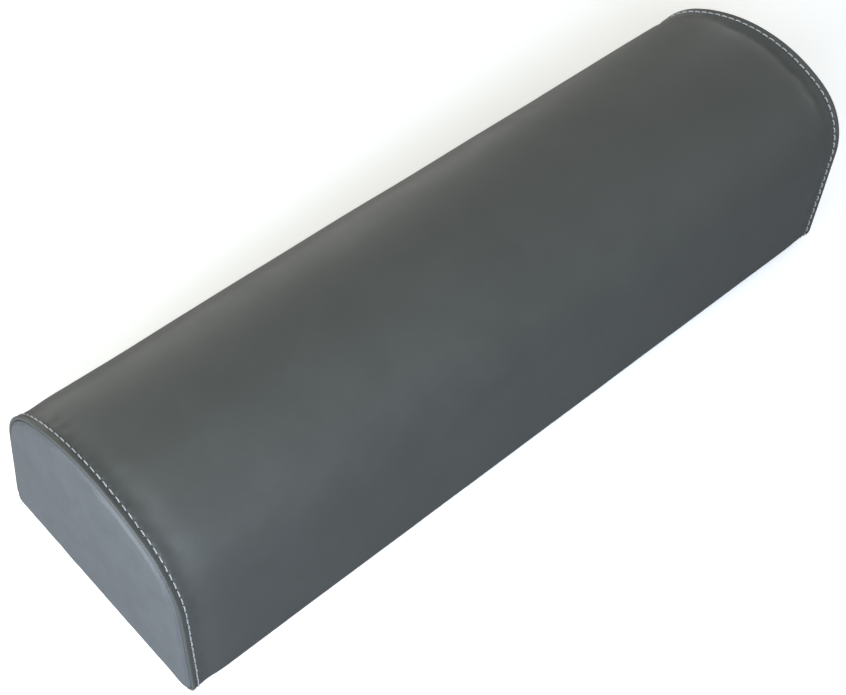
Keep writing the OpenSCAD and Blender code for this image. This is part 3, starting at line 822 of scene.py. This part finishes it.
# ---------------------------------------------------------------- filling, hidden inside the cover
def filled(name, node, d, x0, x1, step, rough, material, bulge=(0, 0)):
    """A closed soft block with the outline's shape, inset by d."""
    s = -L4 + (np.arange(200) + 0.5) * ROUND / 200
    y, z, ny, nz = outline(s)
    xs = np.linspace(x0, x1, max(3, int((x1 - x0) / step)))
    depth = np.array([0.0, 0.35, 1.0])
    rings = []
    mid_pt = np.array([0.0, H * 0.47])

    def ring(x, dd, f=0.0, out=0.0):
        p = place(np.full_like(s, x), s, -dd)
        p[:, 1] += (mid_pt[0] - p[:, 1]) * f
        p[:, 2] += (mid_pt[1] - p[:, 2]) * f
        p[:, 0] += out
        return p
    fr = np.linspace(0, 0.96, 16)
    for f in fr[::-1][:-1]:
        rings.append(ring(x0, d + 1.4, f, -bulge[0] * (1 - (1 - f) ** 3)))
    for q in depth[::-1]:
        rings.append(ring(x0 + 1.4 * (1 - math.cos(math.asin(1 - q))) if q < 1 else x0, d + 1.4 * q))
    for x in xs[1:-1]:
        rings.append(ring(x, d))
    for q in depth:
        rings.append(ring(x1 - 1.4 * (1 - math.cos(math.asin(1 - q))) if q < 1 else x1, d + 1.4 * q))
    for f in fr[1:]:
        rings.append(ring(x1, d + 1.4, f, bulge[1] * (1 - (1 - f) ** 3)))
    pts = np.stack(rings, 1)
    dent = (wave(pts, 26.0, 8.0) * 0.7 + wave(pts, 8.0, 9.0) * 0.3 - 0.6) * rough
    n3 = np.stack([np.zeros_like(ny), ny, nz], -1)[:, None, :]
    pts = pts + n3 * dent[..., None]
    nv = pts.shape[1]
    flat = pts.reshape(-1, 3)
    faces = grid_faces(len(s), nv, True)
    a, b = len(flat), len(flat) + 1
    flat = np.concatenate([flat, flat[0::nv].mean(0)[None], flat[nv - 1::nv].mean(0)[None]])
    for i in range(len(s)):
        j = (i + 1) % len(s)
        faces.append([j * nv, i * nv, a])
        faces.append([i * nv + nv - 1, j * nv + nv - 1, b])
    ob = mesh_object(name, flat, faces, material)
    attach(ob, "bolster")
    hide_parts(node)
    return ob


def span(node):
    lo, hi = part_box(node)
    return lo.x / MM, hi.x / MM


x0, x1 = span("foam_core")
filled("foam_core_block", "foam_core", 9.7, x0, x1, 12.0, 0.5, FOAM)
for which, side in (("left", -1), ("right", 1)):
    x0, x1 = span(f"wadding_end_{which}")
    filled(f"wadding_end_{which}_pad", f"wadding_end_{which}", 5.2, x0 + 0.2, x1 - 0.2, 2.5, 0.8, WADDING,
           (2.6, 0.0) if side < 0 else (0.0, 2.6))

x0, x1 = span("wadding_wrap")
s = -L4 + (np.arange(240) + 0.5) * ROUND / 240
xs = np.linspace(x0, x1, 110)
SS, XX = np.meshgrid(s, xs, indexing="ij")
e = x1 - np.abs(XX)
depth = 1.75 + 3.3 * bump(e / 13.0) + 3.7 * bump((SS - S_ZIP) / 21.0) ** 0.5 * (np.abs(XX) < X_OPEN + 14)
p = place(XX, SS, 0.0)
depth = depth + 0.35 + (wave(p, 21.0, 11.0) + wave(p, 7.0, 12.0) * 0.5) * 0.45 - swell(SS, XX)
ob = mesh_object("wadding_wrap_fleece", place(XX, SS, -depth).reshape(-1, 3), grid_faces(len(s), len(xs), True), WADDING)
m = thicken(ob, 3.6)
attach(ob, "bolster")
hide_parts("wadding_wrap")

# ---------------------------------------------------------------- stage, lights, camera
scene = bpy.context.scene
scene.frame_set(1)
floor_mesh = bpy.data.meshes.new("floor")
floor_mesh.from_pydata([(-6, -6, -0.0002), (6, -6, -0.0002), (6, 6, -0.0002), (-6, 6, -0.0002)], [], [(0, 1, 2, 3)])
floor = bpy.data.objects.new("floor", floor_mesh)
scene.collection.objects.link(floor)
fn = Nodes("floor")
path = fn.t.nodes.new("ShaderNodeLightPath")
far = fn.t.nodes.new("ShaderNodeVectorMath")
far.operation = "LENGTH"
fn.link(fn.co, far.inputs[0])
tone = fn.mix(path.outputs["Is Camera Ray"], (0.20, 0.20, 0.20), (0.95, 0.95, 0.95))
fn.set(Base_Color=tone, Roughness=0.9, Specular_IOR_Level=0.05, Emission_Color=(1.0, 1.0, 1.0, 1.0))
fn.set(Emission_Strength=fn.math("MULTIPLY", path.outputs["Is Camera Ray"], 0.34))
glow = fn.t.nodes.new("ShaderNodeEmission")
glow.inputs[1].default_value = 1.0
fade = fn.t.nodes.new("ShaderNodeMixShader")
fn.link(fn.math("MULTIPLY", fn.ramp(far.outputs["Value"], 0.6, 1.6), path.outputs["Is Camera Ray"]), fade.inputs[0])
fn.link(fn.b.outputs[0], fade.inputs[1])
fn.link(glow.outputs[0], fade.inputs[2])
fn.link(fade.outputs[0], fn.out.inputs[0])
floor_mesh.materials.append(fn.m)

world = bpy.data.worlds.new("studio")
scene.world = world
world.use_nodes = True
wt = world.node_tree
wt.nodes.clear()
w_out = wt.nodes.new("ShaderNodeOutputWorld")
w_mix = wt.nodes.new("ShaderNodeMixShader")
w_cam = wt.nodes.new("ShaderNodeBackground")
w_fill = wt.nodes.new("ShaderNodeBackground")
w_path = wt.nodes.new("ShaderNodeLightPath")
w_cam.inputs[0].default_value, w_cam.inputs[1].default_value = (1, 1, 1, 1), 1.0
w_fill.inputs[0].default_value, w_fill.inputs[1].default_value = (1.0, 0.985, 0.88, 1), 0.28
wt.links.new(w_path.outputs["Is Camera Ray"], w_mix.inputs[0])
wt.links.new(w_fill.outputs[0], w_mix.inputs[1])
wt.links.new(w_cam.outputs[0], w_mix.inputs[2])
wt.links.new(w_mix.outputs[0], w_out.inputs[0])


def area(name, at, to, size, watts, colour=(1, 1, 1)):
    data = bpy.data.lights.new(name, "AREA")
    data.shape = "RECTANGLE"
    data.size, data.size_y = size
    data.energy = watts
    data.color = colour
    ob = bpy.data.objects.new(name, data)
    ob.location = at
    ob.rotation_euler = (Vector(to) - Vector(at)).to_track_quat("-Z", "Y").to_euler()
    scene.collection.objects.link(ob)
    return ob


area("key_left", (-2.0, -0.1, 0.5), (-0.33, 0, 0.05), (1.4, 0.9), 48, (0.90, 0.955, 1.0))
area("key_front", (-0.9, -0.9, 0.95), (-0.16, 0, 0.08), (0.8, 0.5), 26, (0.70, 0.81, 1.0))
area("top", (-0.5, 0.2, 1.7), (-0.1, 0, 0.08), (1.4, 1.0), 2.5, (1.0, 0.95, 0.50))
area("back_low", (0.4, 2.0, 0.18), (0, 0.1, 0.06), (2.4, 0.28), 12, (1.0, 0.985, 0.94))
area("right_low", (1.9, 0.25, 0.19), (0.33, 0, 0.06), (1.2, 0.3), 13, (0.96, 0.98, 1.0))

cam_data = bpy.data.cameras.new("camera")
cam = bpy.data.objects.new("camera", cam_data)
scene.collection.objects.link(cam)
scene.camera = cam
AZ, EL = math.radians(-39.476), math.radians(55.756)
back = Vector((math.sin(AZ) * math.cos(EL), -math.cos(AZ) * math.cos(EL), math.sin(EL)))
right = (-back).cross(Vector((0, 0, 1))).normalized()
up = right.cross(-back)
at = 0.205 * (-0.8001 * right - 0.4653 * up + 5.0342 * back)
cam.matrix_world = Matrix.Translation(at) @ Matrix((right, up, back)).transposed().to_4x4()
cam_data.sensor_width = 36
cam_data.lens = 1312.63 * 36 / 846
cam_data.clip_start, cam_data.clip_end = 0.02, 50
# the main view is framed with lens shift; from any other place the lens is centred
for prop, value in (("shift_x", (423 - 231.38) / 846), ("shift_y", (480.79 - 347.5) / 846)):
    d = cam_data.driver_add(prop).driver
    d.type = "SCRIPTED"
    v = d.variables.new()
    v.name = "px"
    v.type = "TRANSFORMS"
    v.targets[0].id = cam
    v.targets[0].transform_type = "LOC_X"
    v.targets[0].transform_space = "WORLD_SPACE"
    d.expression = f"{value:.6f} if abs(px - {at.x:.6f}) < 0.0005 else 0.0"

scene.view_settings.view_transform = "Standard"
scene.view_settings.look = "None"
scene.view_settings.exposure = 0.0
